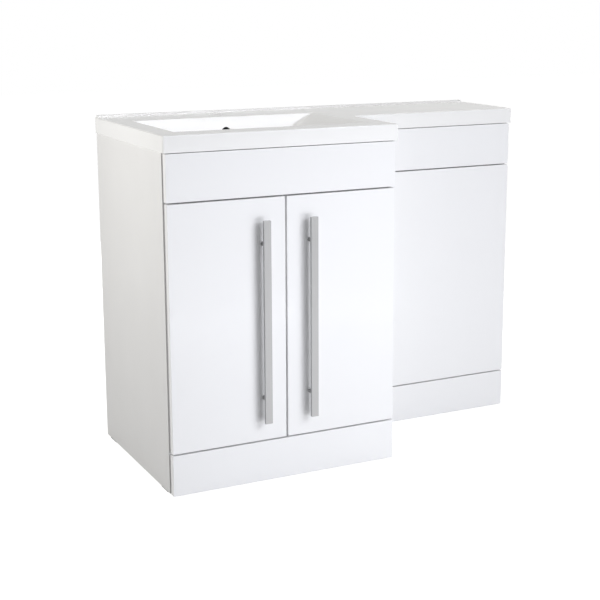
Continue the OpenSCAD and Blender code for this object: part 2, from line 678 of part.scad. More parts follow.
module door_left() color("white") at_door(-1) door_leaf();
module door_right() color("white") at_door(1) door_leaf();
module handle_bar_left() color("silver") at_door(-1) handle_bar();
module handle_bar_right() color("silver") at_door(1) handle_bar();
module handle_posts_left() color("silver") at_door(-1) handle_posts();
module handle_posts_right() color("silver") at_door(1) handle_posts();
module handle_screws_left() color("gray") at_door(-1) handle_screws();
module handle_screws_right() color("gray") at_door(1) handle_screws();
module hinge_cups_left() color("silver") at_door(-1) hinge_cups();
module hinge_cups_right() color("silver") at_door(1) hinge_cups();
module hinge_links_left() color("gray") at_door(-1) hinge_links();
module hinge_links_right() color("gray") at_door(1) hinge_links();
module door_buffers_left() color("gainsboro") at_door(-1) door_buffers();
module door_buffers_right() color("gainsboro") at_door(1) door_buffers();

// WC section: push-in clips hold its two panels to the side panels' front edges
clip_r = 4;
clip_in = 12;
clip_zs = concat([door_z + clip_end, door_z + door_h / 2, door_top - clip_end], fascia_zs);

module clip_holes(x) for (z = clip_zs) rod_y(x, z, clip_r + fit, wc_carcass_y - 1, wc_carcass_y + clip_in + fit);

module panel_clips() color("whitesmoke") for (x = [vanity_r + board_t / 2, wc_r - board_t / 2], z = clip_zs) {
    rod_y(x, z, board_t / 2 - reveal, wc_front_y + front_t, wc_carcass_y);
    rod_y(x, z, clip_r, wc_front_y + front_t, wc_carcass_y + clip_in);
}

module wc_side_left() color("white") difference() {
    side_board(vanity_r, wc_carcass_y);
    clip_holes(vanity_r + board_t / 2);
    for (p = bolt_yz) rod_x(p[0], p[1], bolt_d / 2 + fit, vanity_r - 1, wc_in_l + 1);
}

module wc_side_right() color("white") difference() {
    side_board(wc_in_r, wc_carcass_y);
    clip_holes(wc_r - board_t / 2);
}

module wc_top_rail() color("white") difference() {
    board(wc_in_l, wc_carcass_y, edge_z - board_t, wc_in_r - wc_in_l, flat_rail_d, board_t);
    cam_holes(wc_top_cams);
}

module wc_mid_rail() color("white") difference() {
    board(wc_in_l, wc_carcass_y, wc_mid_z, wc_in_r - wc_in_l, board_t, mid_rail_h);
    cam_holes(wc_mid_cams);
}

module wc_base_rail() color("white") difference() {
    board(wc_in_l, wc_carcass_y, base_z, wc_in_r - wc_in_l, flat_rail_d, board_t);
    cam_holes(wc_base_cams);
}

module wc_rear_rail() color("white") difference() {
    board(wc_in_l, -board_t, rear_rail_z, wc_in_r - wc_in_l, board_t, rear_rail_h);
    cam_holes(wc_rear_cams);
}

module wc_panel(z, h) front_panel(vanity_r + reveal, wc_front_y, z, wc_r - vanity_r - 2 * reveal, h);

module wc_upper_panel() color("white") wc_panel(fascia_z, fascia_h);
module wc_lower_panel() color("white") wc_panel(door_z, door_h);
module wc_plinth() color("white") wc_panel(plinth_clear, plinth_h);

// A steel angle from a side panel to the wall: x is the side's inner face, side is 1 or -1 inwards
wall_leg = 40;
hole_edge = 14;
module wall_bracket(x, side) translate([x, 0, bracket_z - bracket_w / 2]) mirror([side < 0 ? 1 : 0, 0, 0]) difference() {
    union() {
        translate([0, -bracket_t, 0]) cube([wall_hole_in + hole_edge, bracket_t, bracket_w]);
        translate([0, -wall_leg, 0]) cube([bracket_t, wall_leg, bracket_w]);
    }
    rod_y(wall_hole_in, bracket_w / 2, wall_hole_d / 2, -bracket_t - 1, 1);
}

module wall_brackets() color("silver") {
    wall_bracket(vanity_in_l, 1);
    wall_bracket(vanity_in_r, -1);
    wall_bracket(wc_in_l, 1);
    wall_bracket(wc_in_r, -1);
}

module joining_bolts() color("silver") for (p = bolt_yz) {
    rod_x(p[0], p[1], bolt_d / 2, vanity_in_r - 1, wc_in_l + 1);
    rod_x(p[0], p[1], bolt_d, vanity_in_r - 2.5, vanity_in_r);
    rod_x(p[0], p[1], bolt_d, wc_in_l, wc_in_l + 2.5);
}

// Glide feet: flat pads with rounded ends, two under each side panel
module glide_foot(x, y) translate([x, y, 0]) linear_extrude(glide_h) polygon(rounded(board_t - 4, glide_l, 4, 4));

module glide_feet() color("dimgray") {
    for (x = [vanity_l, vanity_in_r], y = [carcass_y + glide_in + glide_l / 2, -glide_in - glide_l / 2])
        glide_foot(x + board_t / 2, y);
    for (x = [vanity_r, wc_in_r], y = [wc_carcass_y + glide_in + glide_l / 2, -glide_in - glide_l / 2])
        glide_foot(x + board_t / 2, y);
}

basin_top();
overflow_duct();
vanity_side_left();
vanity_side_right();
vanity_base();
vanity_front_rail();
vanity_rear_top_rail();
vanity_rear_bottom_rail();
vanity_shelf();
shelf_pins();
vanity_fascia();
fascia_spacers();
fascia_screws();
vanity_plinth();
plinth_brackets();
door_left();
door_right();
handle_bar_left();
handle_bar_right();
handle_posts_left();
handle_posts_right();
handle_screws_left();
handle_screws_right();
hinge_cups_left();
hinge_cups_right();
hinge_links_left();
hinge_links_right();
hinge_arms();
hinge_plates();
hinge_pins();
hinge_screws();
door_buffers_left();
door_buffers_right();
wc_side_left();
wc_side_right();
wc_top_rail();
wc_mid_rail();
wc_base_rail();
wc_rear_rail();
wc_upper_panel();
wc_lower_panel();
wc_plinth();
panel_clips();
wall_brackets();
joining_bolts();
glide_feet();
cam_fittings();
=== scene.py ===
"""L-shaped bathroom unit, white gloss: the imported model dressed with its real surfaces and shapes."""
import json
import math

import bmesh
import bpy
from mathutils import Matrix, Vector


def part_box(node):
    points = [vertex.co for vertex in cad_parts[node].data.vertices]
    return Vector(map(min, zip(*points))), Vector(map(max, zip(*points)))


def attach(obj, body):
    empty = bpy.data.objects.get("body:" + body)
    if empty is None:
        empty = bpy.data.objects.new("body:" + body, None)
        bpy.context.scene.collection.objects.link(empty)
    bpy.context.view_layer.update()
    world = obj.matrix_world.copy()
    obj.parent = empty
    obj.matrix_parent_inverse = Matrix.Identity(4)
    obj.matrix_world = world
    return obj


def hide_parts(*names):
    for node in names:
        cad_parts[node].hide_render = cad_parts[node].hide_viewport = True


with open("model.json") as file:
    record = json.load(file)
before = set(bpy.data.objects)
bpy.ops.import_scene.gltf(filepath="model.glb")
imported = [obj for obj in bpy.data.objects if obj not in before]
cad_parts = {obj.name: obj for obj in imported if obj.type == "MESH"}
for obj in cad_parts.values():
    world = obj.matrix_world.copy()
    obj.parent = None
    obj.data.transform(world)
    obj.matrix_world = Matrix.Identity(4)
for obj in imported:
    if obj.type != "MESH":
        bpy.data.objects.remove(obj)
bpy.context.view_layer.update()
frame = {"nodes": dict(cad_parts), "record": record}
nodes = frame["nodes"]

# The viewpoint: someone standing to the left of the unit, about three and a half metres off, whose eye
# is a little above the worktop. The long lens keeps the upright edges nearly parallel.
camera = bpy.data.cameras.new("viewpoint")
camera.sensor_width = 36.0
camera.lens = 77.63
camera.shift_x = -0.05
camera.shift_y = -0.05
viewpoint = bpy.data.objects.new("viewpoint", camera)
bpy.context.scene.collection.objects.link(viewpoint)
stands_at = (-1.5244, -3.2041, 1.15534)
turned, tilted, rolled = -0.4749, 0.21, 0.0005
viewpoint.matrix_world = (
    Matrix.Translation(stands_at)
    @ Matrix.Rotation(turned, 4, "Z")
    @ Matrix.Rotation(math.pi / 2 - tilted, 4, "X")
    @ Matrix.Rotation(rolled, 4, "Z")
)
bpy.context.scene.camera = viewpoint
bpy.context.scene.view_settings.view_transform = "Standard"


# Side panels: 18 mm chipboard faced in white melamine, taped along the front edge.
# The back edge and the foot are left as sawn, so the chips show there.
def surface(name, colour, roughness, metallic=0.0, coat=0.0, specular=0.5):
    """A new material, with its node tree and its shader."""
    material = bpy.data.materials.new(name)
    material.use_nodes = True
    shader = material.node_tree.nodes["Principled BSDF"]
    shader.inputs["Base Color"].default_value = (*colour, 1.0)
    shader.inputs["Roughness"].default_value = roughness
    shader.inputs["Metallic"].default_value = metallic
    shader.inputs["Coat Weight"].default_value = coat
    shader.inputs["Coat Roughness"].default_value = 0.04
    shader.inputs["Specular IOR Level"].default_value = specular
    return material, material.node_tree, shader


def noise_on(tree, scale, stretch=(1, 1, 1), detail=3.0):
    """Noise fixed to the piece itself, at a scale in waves per metre."""
    place = tree.nodes.new("ShaderNodeTexCoord")
    spread = tree.nodes.new("ShaderNodeMapping")
    spread.inputs["Scale"].default_value = stretch
    noise = tree.nodes.new("ShaderNodeTexNoise")
    noise.inputs["Scale"].default_value = scale
    noise.inputs["Detail"].default_value = detail
    tree.links.new(place.outputs["Object"], spread.inputs["Vector"])
    tree.links.new(spread.outputs["Vector"], noise.inputs["Vector"])
    return noise


def feed(tree, place, value):
    """Gives an input a colour or a number, or links another node's output to it."""
    if isinstance(value, bpy.types.NodeSocket):
        tree.links.new(value, place)
    elif isinstance(value, tuple):
        place.default_value = (*value, 1.0)
    else:
        place.default_value = value


def between(tree, factor, low, high):
    """A colour that goes from low to high with a factor."""
    mix = tree.nodes.new("ShaderNodeMix")
    mix.data_type = "RGBA"
    feed(tree, mix.inputs["A"], low)
    feed(tree, mix.inputs["B"], high)
    feed(tree, mix.inputs["Factor"], factor)
    return mix.outputs["Result"]


def reckoned(tree, operation, first, second):
    """The result of one calculation with two numbers or outputs."""
    node = tree.nodes.new("ShaderNodeMath")
    node.operation = operation
    feed(tree, node.inputs[0], first)
    feed(tree, node.inputs[1], second)
    return node.outputs["Value"]


def ranged(tree, factor, low, high, start=0.3, end=0.7):
    """A number that goes from low to high while a factor goes from start to end."""
    span = tree.nodes.new("ShaderNodeMapRange")
    span.inputs["From Min"].default_value = start
    span.inputs["From Max"].default_value = end
    span.inputs["To Min"].default_value = low
    span.inputs["To Max"].default_value = high
    tree.links.new(factor, span.inputs["Value"])
    return span.outputs["Result"]


def relief(tree, shader, height_from, depth):
    """Lets a pattern stand up from the surface by a depth in metres."""
    bump = tree.nodes.new("ShaderNodeBump")
    bump.inputs["Distance"].default_value = depth
    tree.links.new(height_from, bump.inputs["Height"])
    tree.links.new(bump.outputs["Normal"], shader.inputs["Normal"])


def faced_board(name, raw_sides):
    """White melamine with a fine emboss; chipboard shows on faces that look along the raw sides."""
    satin, sawn, facing_limit = 0.42, 0.9, 0.7
    material, tree, shader = surface(name, (0.86, 0.86, 0.85), satin)
    emboss = noise_on(tree, 900, detail=2.0).outputs["Fac"]
    cloud = noise_on(tree, 9).outputs["Fac"]
    white = between(tree, cloud, (0.835, 0.832, 0.825), (0.875, 0.873, 0.868))
    chips = ranged(tree, noise_on(tree, 420, detail=4.0).outputs["Fac"], 0, 1, 0.35, 0.65)
    brown = between(tree, chips, (0.36, 0.24, 0.13), (0.72, 0.57, 0.38))
    facing = tree.nodes.new("ShaderNodeTexCoord").outputs["Normal"]
    raw = None
    for side in raw_sides:
        dot = tree.nodes.new("ShaderNodeVectorMath")
        dot.operation = "DOT_PRODUCT"
        dot.inputs[1].default_value = side
        tree.links.new(facing, dot.inputs[0])
        shows = reckoned(tree, "GREATER_THAN", dot.outputs["Value"], facing_limit)
        raw = shows if raw is None else reckoned(tree, "MAXIMUM", raw, shows)
    tree.links.new(between(tree, raw, white, brown), shader.inputs["Base Color"])
    tree.links.new(ranged(tree, raw, satin, sawn, 0, 1), shader.inputs["Roughness"])
    relief(tree, shader, emboss, 0.00002)
    return material


def coat_nodes(material, *names):
    """Gives CAD pieces that are shown as they are their real surface."""
    for name in names:
        piece = nodes[name]
        if not piece.material_slots:
            piece.data.materials.append(material)
        for place in piece.material_slots:
            place.material = material


upright_board = faced_board("faced_board_upright", [(0, 1, 0), (0, 0, -1)])
coat_nodes(upright_board, "vanity_side_left", "vanity_side_right", "wc_side_left", "wc_side_right")

# Base, shelf and rails: the same faced chipboard, cut to lie flat or stand on edge between the sides.
# Only the edges turned to the room are taped.
flat_board = faced_board("faced_board_flat", [(0, 1, 0)])
coat_nodes(flat_board, "vanity_base", "vanity_shelf", "wc_top_rail", "wc_base_rail")
rail_board = faced_board("faced_board_on_edge", [(0, 0, -1), (0, 0, 1)])
coat_nodes(rail_board, "vanity_front_rail", "vanity_rear_top_rail", "vanity_rear_bottom_rail")
coat_nodes(rail_board, "wc_mid_rail", "wc_rear_rail")


# Shelf pins, cam fittings, joining bolts and brackets: pressed or turned steel, zinc plated.
# The plating is bright with a cloudy patchiness.
def plated_steel(name, colour, roughness):
    """Bright metal whose colour and gloss drift a little from patch to patch."""
    material, tree, shader = surface(name, colour, roughness, metallic=1.0)
    patches = noise_on(tree, 160, detail=4.0).outputs["Fac"]
    dull = tuple(0.86 * part for part in colour)
    tree.links.new(between(tree, patches, dull, colour), shader.inputs["Base Color"])
    tree.links.new(ranged(tree, patches, roughness - 0.06, roughness + 0.1), shader.inputs["Roughness"])
    relief(tree, shader, noise_on(tree, 700).outputs["Fac"], 0.00001)
    return material


zinc = plated_steel("zinc_plate", (0.70, 0.71, 0.73), 0.32)
coat_nodes(zinc, "shelf_pins", "cam_fittings", "joining_bolts")
coat_nodes(zinc, "wall_brackets", "plinth_brackets", "fascia_screws")

# The worktop and basin: one white casting of mineral-filled resin, polished to a high gloss.
# Its edges are eased and a lip stands along the wall.
# The bowl's ends slope in gently before they turn steep, and its floor falls to the waste.
(top_left, top_front, waste_under), (top_right, _, lip_top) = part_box("basin_top")
mounts = {mount["name"]: mount for mount in frame["record"]["mounts"]}
tap_hole, waste_hole = mounts["tap_hole"], mounts["waste_hole"]
tap_centre, tap_radius = tap_hole["pos_m"][:2], tap_hole["dims"]["r_mm"] / 1000
bowl_centre, waste_radius = waste_hole["pos_m"][:2], waste_hole["dims"]["r_mm"] / 1000
top_step, shallow_front = 0.052, -0.260
top_under, top_face, deck_under = 0.810, 0.850, 0.836
corner, hollow_corner = 0.005, 0.028
skirt, skirt_corner = 0.022, 0.006
foot_round, face_round = 0.0015, 0.003
bowl_half = (0.247, 0.146)
mouth_out, mouth_round, wall_depth = 0.004, 0.0015, 0.101
# Where the foot of the bowl's wall starts, turns and ends: in from the ends, in from the sides,
# corner radius and height.
bowl_bend = ((0.0840, 0.0176, 0.044, 0.749), (0.0906, 0.0215, 0.039, 0.7362), (0.121, 0.038, 0.034, 0.735))
floor_fall, drain_radius, waste_boss = 0.004, 0.027, 0.035
tap_round, tap_boss, tap_boss_under = 0.0012, 0.0295, 0.830
lip_front, lip_back, lip_foot, lip_round = -0.010, -0.0002, 0.846, 0.0006
corner_parts, straight_parts = 10, 6


def arc(x, y, radius, start, end, steps=corner_parts):
    """Points along part of a circle, from one angle in degrees to another."""
    turns = [math.radians(start + (end - start) * i / steps) for i in range(steps + 1)]
    return [(x + radius * math.cos(t), y + radius * math.sin(t)) for t in turns]


def top_outline(inset, radius=None):
    """The worktop's outline, drawn in by an inset, anticlockwise from its back right corner."""
    turn = corner - inset if radius is None else radius
    inward = inset + turn
    points = arc(top_right - inward, -inward, turn, 0, 90)
    points += arc(top_left + inward, -inward, turn, 90, 180)
    points += arc(top_left + inward, top_front + inward, turn, 180, 270)
    points += arc(top_step - inward, top_front + inward, turn, 270, 360)
    hollow = (top_step + hollow_corner, shallow_front - hollow_corner)
    points += arc(*hollow, hollow_corner + inset, 180, 90)
    return points + arc(top_right - inward, shallow_front + inward, turn, 270, 360)


def bowl_outline(inset_x, inset_y, radius):
    """A rounded oblong round the bowl's centre, with a few points along each straight side."""
    x, y = bowl_centre
    hx, hy = bowl_half[0] - inset_x - radius, bowl_half[1] - inset_y - radius
    corners = [
        arc(x + sx * hx, y + sy * hy, radius, start, start + 90)
        for sx, sy, start in ((1, 1, 0), (-1, 1, 90), (-1, -1, 180), (1, -1, 270))
    ]
    points = []
    for i, turn in enumerate(corners):
        points += turn
        (ax, ay), (bx, by) = turn[-1], corners[(i + 1) % 4][0]
        parts = [t / straight_parts for t in range(1, straight_parts)]
        points += [(ax + (bx - ax) * t, ay + (by - ay) * t) for t in parts]
    return points


def round_outline(like, radius):
    """A circle round the bowl's centre whose points match those of an outline."""
    points = []
    for x, y in like:
        angle = math.atan2((y - bowl_centre[1]) / bowl_half[1], (x - bowl_centre[0]) / bowl_half[0])
        points.append((bowl_centre[0] + radius * math.cos(angle), bowl_centre[1] + radius * math.sin(angle)))
    return points


def loop(mesh, points, z):
    """New points of a mesh along an outline at one height."""
    return [mesh.verts.new((x, y, z)) for x, y in points]


def skin(mesh, loops):
    """Faces between each loop of points and the next."""
    for low, high in zip(loops, loops[1:]):
        for i in range(len(low)):
            j = (i + 1) % len(low)
            mesh.faces.new((low[i], low[j], high[j], high[i]))


def fill(mesh, *rims):
    """A flat face with holes, between rims that the skins around it have already drawn."""
    edges = [mesh.edges.get((rim[i], rim[(i + 1) % len(rim)])) for rim in rims for i in range(len(rim))]
    bmesh.ops.triangle_fill(mesh, edges=edges, use_beauty=True)


def shade(data):
    """Smooth shading that still breaks at the sharp edges."""
    data.shade_smooth()
    data.set_sharp_from_angle(angle=math.radians(35))


def piece_from(mesh, name):
    """A finished object from bmesh."""
    bmesh.ops.recalc_face_normals(mesh, faces=mesh.faces[:])
    data = bpy.data.meshes.new(name)
    mesh.to_mesh(data)
    mesh.free()
    shade(data)
    piece = bpy.data.objects.new(name, data)
    bpy.context.scene.collection.objects.link(piece)
    return piece


def end_slope(depth):
    """How far the bowl's ends have come in at a depth: gently to the shoulder, then steeply."""
    shoulder, steep = 0.024, 0.060
    shoulder_in, steep_in = 0.0392, 0.0635
    shoulder_fall, steep_fall = 0.0518, 0.018
    gentle_run, gentle_depth, flare, steepness = 0.053, 0.031, 0.8, 0.5
    if depth < shoulder:
        return gentle_run * (depth / gentle_depth) ** flare - mouth_out
    if depth > steep:
        return steep_in + steepness * (depth - steep)
    t = (depth - shoulder) / (steep - shoulder)
    upper = (2 * t - 3) * t * t + 1
    fall = ((t - 2) * t + 1) * t * shoulder_fall + (t - 1) * t * t * steep_fall
    return upper * shoulder_in + (1 - upper) * steep_in + fall


def side_slope(depth):
    """How far its front and back have come in: round the crisp mouth, then nearly upright."""
    start, foot = mouth_round - mouth_out, bowl_bend[0][1]
    if depth < mouth_round:
        return mouth_round * math.sqrt(1 - (1 - depth / mouth_round) ** 2) - mouth_out
    return start + (foot - start) * (depth - mouth_round) / (wall_depth - mouth_round)


def edge_loops(mesh):
    """From under the deck, down the inside of the skirt, round its foot and up to the face."""
    # An extra row this far from each round keeps the flats beside it flat.
    hold = 0.0006
    edge = [loop(mesh, top_outline(skirt, skirt_corner), z) for z in (deck_under, top_under)]
    edge.append(loop(mesh, top_outline(foot_round + hold), top_under))
    for x, y in arc(foot_round, foot_round, foot_round, 270, 180, 3):
        edge.append(loop(mesh, top_outline(x), top_under + y))
    edge.append(loop(mesh, top_outline(0), top_face - face_round - hold))
    for x, y in arc(face_round, -face_round, face_round, 180, 90, 6):
        edge.append(loop(mesh, top_outline(x), top_face + y))
    edge.append(loop(mesh, top_outline(face_round + hold), top_face))
    return edge


def bowl_loops(mesh):
    """From the bowl's mouth down its walls, across its floor and down the waste hole."""
    rim = mouth_out + 0.0008
    bowl = [loop(mesh, bowl_outline(-rim, -rim, rim), top_face)]
    mouth_corner, corner_growth = 0.004, 0.040
    # Millimetres below the face, closer together where the wall bends.
    depths = [0, 0.05, 0.2, 0.45, 0.8, 1.15, 1.5, 2.3, 3.1, 4, 6, 8.5, 11.5, 15, 19, 23, 27, 31, 35, 39]
    for mm in depths + [44, 50, 57, 65, 76, 88, 99]:
        depth = mm / 1000
        radius = mouth_corner + corner_growth * depth / wall_depth
        bowl.append(loop(mesh, bowl_outline(end_slope(depth), side_slope(depth), radius), top_face - depth))
    for t in (0.0, 0.15, 0.3, 0.45, 0.6, 0.75, 0.9, 1.0):
        u = 1 - t
        x, y, radius, z = (u * u * a + 2 * u * t * b + t * t * c for a, b, c in zip(*bowl_bend))
        bowl.append(loop(mesh, bowl_outline(x, y, radius), z))
    drain = round_outline(floor_edge, drain_radius)
    floor_height = bowl_bend[-1][-1]
    for t in (0.2, 0.4, 0.6, 0.8, 0.94, 1.0):
        bent = [(a[0] + (b[0] - a[0]) * t, a[1] + (b[1] - a[1]) * t) for a, b in zip(floor_edge, drain)]
        bowl.append(loop(mesh, bent, floor_height - floor_fall * t))
    for out, down in ((0.0015, 0.0), (0.0004, 0.0004), (0.0, 0.0015)):
        drop = floor_fall + down
        bowl.append(loop(mesh, round_outline(floor_edge, waste_radius + out), floor_height - drop))
    bowl.append(loop(mesh, round_outline(floor_edge, waste_radius), waste_under))
    return bowl


def shell_loops(mesh):
    """The outside of the bowl, from the deck down to the foot of the waste boss."""
    # Each row: in from the ends, in from the sides, corner radius and height.
    rows = (
        (0.0064, -0.0080, 0.030, deck_under),
        (0.040, -0.0041, 0.0387, top_under),
        (0.075, 0.0086, 0.053, 0.740),
        (0.0995, 0.0165, 0.0495, 0.7310),
        (0.110, 0.027, 0.039, 0.7262),
    )
    shell = [loop(mesh, bowl_outline(x, y, radius), z) for x, y, radius, z in rows]
    for radius, z in ((0.036, 0.7225), (waste_boss, 0.7215), (waste_boss, waste_under)):
        shell.append(loop(mesh, round_outline(floor_edge, radius), z))
    return shell


def tap_loops(mesh):
    """The tap hole, round its rim, down through the deck and out to the edge of its boss."""
    rows = [(tap_radius + 0.002, top_face)]
    for x, y in arc(tap_radius + tap_round, -tap_round, tap_round, 90, 180, 3):
        rows.append((x, top_face + y))
    rows += [(tap_radius, tap_boss_under), (tap_boss, tap_boss_under), (tap_boss, deck_under)]
    return [loop(mesh, arc(*tap_centre, radius, 0, 352.5, 47), z) for radius, z in rows]


def cast_top_piece():
    """The skirt, the bowl with its waste and the tap hole, closed by the face and the deck's underside."""
    mesh = bmesh.new()
    edge = edge_loops(mesh)
    skin(mesh, edge)
    bowl = bowl_loops(mesh)
    shell = shell_loops(mesh)
    skin(mesh, bowl + [shell[-1]])
    skin(mesh, shell)
    tap = tap_loops(mesh)
    skin(mesh, tap)
    fill(mesh, edge[-1], bowl[0], tap[0])
    fill(mesh, edge[0], shell[0], tap[-1])
    return piece_from(mesh, "cast_top")


def lip_profile(rise):
    """The raised lip cut across, as it rises to a height, with an eased edge at front and back."""
    front, back, low = lip_front + lip_round, lip_back - lip_round, rise - lip_round
    hold = 0.0004
    profile = [(lip_front, lip_foot), (lip_back, lip_foot), (lip_back, low - hold)]
    profile += arc(back, low, lip_round, 0, 90, 3) + [(back - hold, rise), (front + hold, rise)]
    return profile + arc(front, low, lip_round, 90, 180, 3) + [(lip_front, low - hold)]


def cut_holes(piece, cutters):
    """Takes the cutters' shapes out of a piece for good."""
    for cutter in cutters:
        cut = piece.modifiers.new("cut", "BOOLEAN")
        cut.operation = "DIFFERENCE"
        cut.solver = "EXACT"
        cut.object = cutter
    bpy.context.view_layer.update()
    done = bpy.data.meshes.new_from_object(piece.evaluated_get(bpy.context.evaluated_depsgraph_get()))
    piece.modifiers.clear()
    piece.data = done
    shade(done)
    for cutter in cutters:
        bpy.data.objects.remove(cutter)


def round_cutter(x, z, radius, start, end, steps=48):
    """A plug that bores a hole along Y from start to end."""
    mesh = bmesh.new()
    bmesh.ops.create_cone(
        mesh, cap_ends=True, segments=steps, radius1=radius, radius2=radius, depth=end - start,
        matrix=Matrix.Translation((x, (start + end) / 2, z)) @ Matrix.Rotation(math.pi / 2, 4, "X"),
    )
    return piece_from(mesh, "cutter")


def block_mesh(mesh, low, high, ease, steps=3):
    """A block between two corners with all its edges eased, added to a mesh."""
    low, high = Vector(low), Vector(high)
    middle, size = (low + high) / 2, high - low
    stretched = Matrix.Translation(middle) @ Matrix.Diagonal((*size, 1.0))
    made = bmesh.ops.create_cube(mesh, size=1.0, matrix=stretched)
    edges = list({edge for vert in made["verts"] for edge in vert.link_edges})
    bmesh.ops.bevel(
        mesh, geom=edges, offset=ease, segments=steps, profile=0.5, affect="EDGES", clamp_overlap=True
    )


floor_edge = bowl_outline(*bowl_bend[-1][:3])
cast_top = cast_top_piece()
overflow_height, overflow_radius = 0.811, 0.013
slot_half, slot_back, slot_low, slot_high = 0.009, -0.250, 0.714, 0.721
slot_mesh = bmesh.new()
slot_start = (bowl_centre[0] - slot_half, bowl_centre[1], slot_low)
block_mesh(slot_mesh, slot_start, (bowl_centre[0] + slot_half, slot_back, slot_high), 0.0002, 1)
overflow_cutter = round_cutter(bowl_centre[0], overflow_height, overflow_radius, -0.200, -0.125)
cut_holes(cast_top, [overflow_cutter, piece_from(slot_mesh, "slot_cutter")])

extra = bmesh.new()
extra.from_mesh(cast_top.data)
lip_ends = ((0.005, 0.0012), (0.0056, 0.0004), (0.0068, 0.0), (0.012, 0.0))
stations = [(top_left + along, drop) for along, drop in lip_ends]
stations += [(top_right - along, drop) for along, drop in reversed(lip_ends)]
lip = []
for x, drop in stations:
    lip.append([extra.verts.new((x, y, z)) for y, z in lip_profile(lip_top - drop)])
skin(extra, lip)
for end in (lip[0], lip[-1]):
    extra.faces.new(end)
rib_low, rib_high, rib_ease = (0.030, -0.240, 0.8102), (0.066, -0.020, 0.8365), 0.0006
block_mesh(extra, rib_low, rib_high, rib_ease, 2)
bmesh.ops.recalc_face_normals(extra, faces=extra.faces[:])
extra.to_mesh(cast_top.data)
extra.free()
shade(cast_top.data)

cast_gloss, tree, shader = surface("cast_mineral", (0.90, 0.90, 0.89), 0.16, coat=0.2)
cloud = noise_on(tree, 14).outputs["Fac"]
cast_white = between(tree, cloud, (0.885, 0.883, 0.875), (0.915, 0.915, 0.910))
tree.links.new(cast_white, shader.inputs["Base Color"])
tree.links.new(ranged(tree, noise_on(tree, 9).outputs["Fac"], 0.15, 0.17), shader.inputs["Roughness"])
relief(tree, shader, noise_on(tree, 30, detail=0.0).outputs["Fac"], 0.000004)
cast_top.data.materials.clear()
cast_top.data.materials.append(cast_gloss)
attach(cast_top, "unit")
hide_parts("basin_top")

# The overflow channel: a thin dark moulding, bonded behind and under the bowl.
# Only its darkness shows, through the overflow hole.
def moulding(name, colour, roughness, depth):
    """Plain plastic whose colour drifts a little, with a fine grain of a depth in metres."""
    material, tree, shader = surface(name, colour, roughness)
    patches = noise_on(tree, 90).outputs["Fac"]
    dull = tuple(0.93 * part for part in colour)
    tree.links.new(between(tree, patches, dull, colour), shader.inputs["Base Color"])
    relief(tree, shader, noise_on(tree, 1200).outputs["Fac"], depth)
    return material


coat_nodes(moulding("dark_channel", (0.030, 0.030, 0.032), 0.6, 0.00004), "overflow_duct")

# Front panels: the fascia, both plinths and the WC section's panels are 18 mm board, lacquered white on
# every face. Their edges are eased by a millimetre, and the lacquer has a faint orange peel.
lacquer, tree, shader = surface("white_lacquer", (0.90, 0.902, 0.91), 0.17, coat=0.3)
cloud = noise_on(tree, 7).outputs["Fac"]
lacquer_white = between(tree, cloud, (0.888, 0.890, 0.898), (0.906, 0.908, 0.916))
tree.links.new(lacquer_white, shader.inputs["Base Color"])
tree.links.new(ranged(tree, noise_on(tree, 8).outputs["Fac"], 0.16, 0.18), shader.inputs["Roughness"])
relief(tree, shader, noise_on(tree, 250, detail=0.0).outputs["Fac"], 0.000002)
panel_ease, gap_taken_up = 0.001, 0.0013


def eased_panel(node, body, inset=(0, 0), taller=0):
    """A lacquered panel in the place of a CAD panel, drawn in a little or a little taller."""
    low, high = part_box(node)
    low = Vector(low) + Vector((inset[0], 0, inset[1]))
    high = Vector(high) - Vector((inset[0], 0, inset[1] - taller))
    mesh = bmesh.new()
    block_mesh(mesh, low, high, panel_ease)
    panel = piece_from(mesh, node + "_panel")
    panel.data.materials.append(lacquer)
    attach(panel, body)
    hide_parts(node)
    return panel


def even_shading(piece):
    """Keeps broad faces flat beside their eased edges."""
    weights = piece.modifiers.new("even_shading", "WEIGHTED_NORMAL")
    weights.keep_sharp = True
    weights.weight = 100


for name in ("vanity_fascia", "vanity_plinth", "wc_upper_panel", "wc_lower_panel", "wc_plinth"):
    under_top = name in ("vanity_fascia", "wc_upper_panel")
    panel = eased_panel(name, "unit", taller=gap_taken_up if under_top else 0)
    even_shading(panel)

# Doors: the same lacquered board, each bored on its inner face for two hinge cups
# and drilled through for the two screws of its handle.
(_, door_front, _), (meeting_edge, door_back, _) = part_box("door_left")
doors_meet = (meeting_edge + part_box("door_right")[0].x) / 2
door_inset = (0.0007, 0.0006)
cup_aside, cup_heights, cup_radius = 0.2725, (0.205, 0.595), 0.01745
grip_aside, screw_heights, screw_radius = 0.061, (0.213, 0.587), 0.00205
cup_floor, before_door, behind_door = door_front + 0.00545, door_front - 0.002, door_back + 0.010
for side, sign in (("left", -1), ("right", 1)):
    door = eased_panel(f"door_{side}", f"{side}_door", inset=door_inset)
    cup_x = doors_meet + sign * cup_aside
    grip_x = doors_meet + sign * grip_aside
    cutters = [round_cutter(cup_x, z, cup_radius, cup_floor, behind_door) for z in cup_heights]
    cutters += [round_cutter(grip_x, z, screw_radius, before_door, behind_door, 20) for z in screw_heights]
    cut_holes(door, cutters)
    even_shading(door)

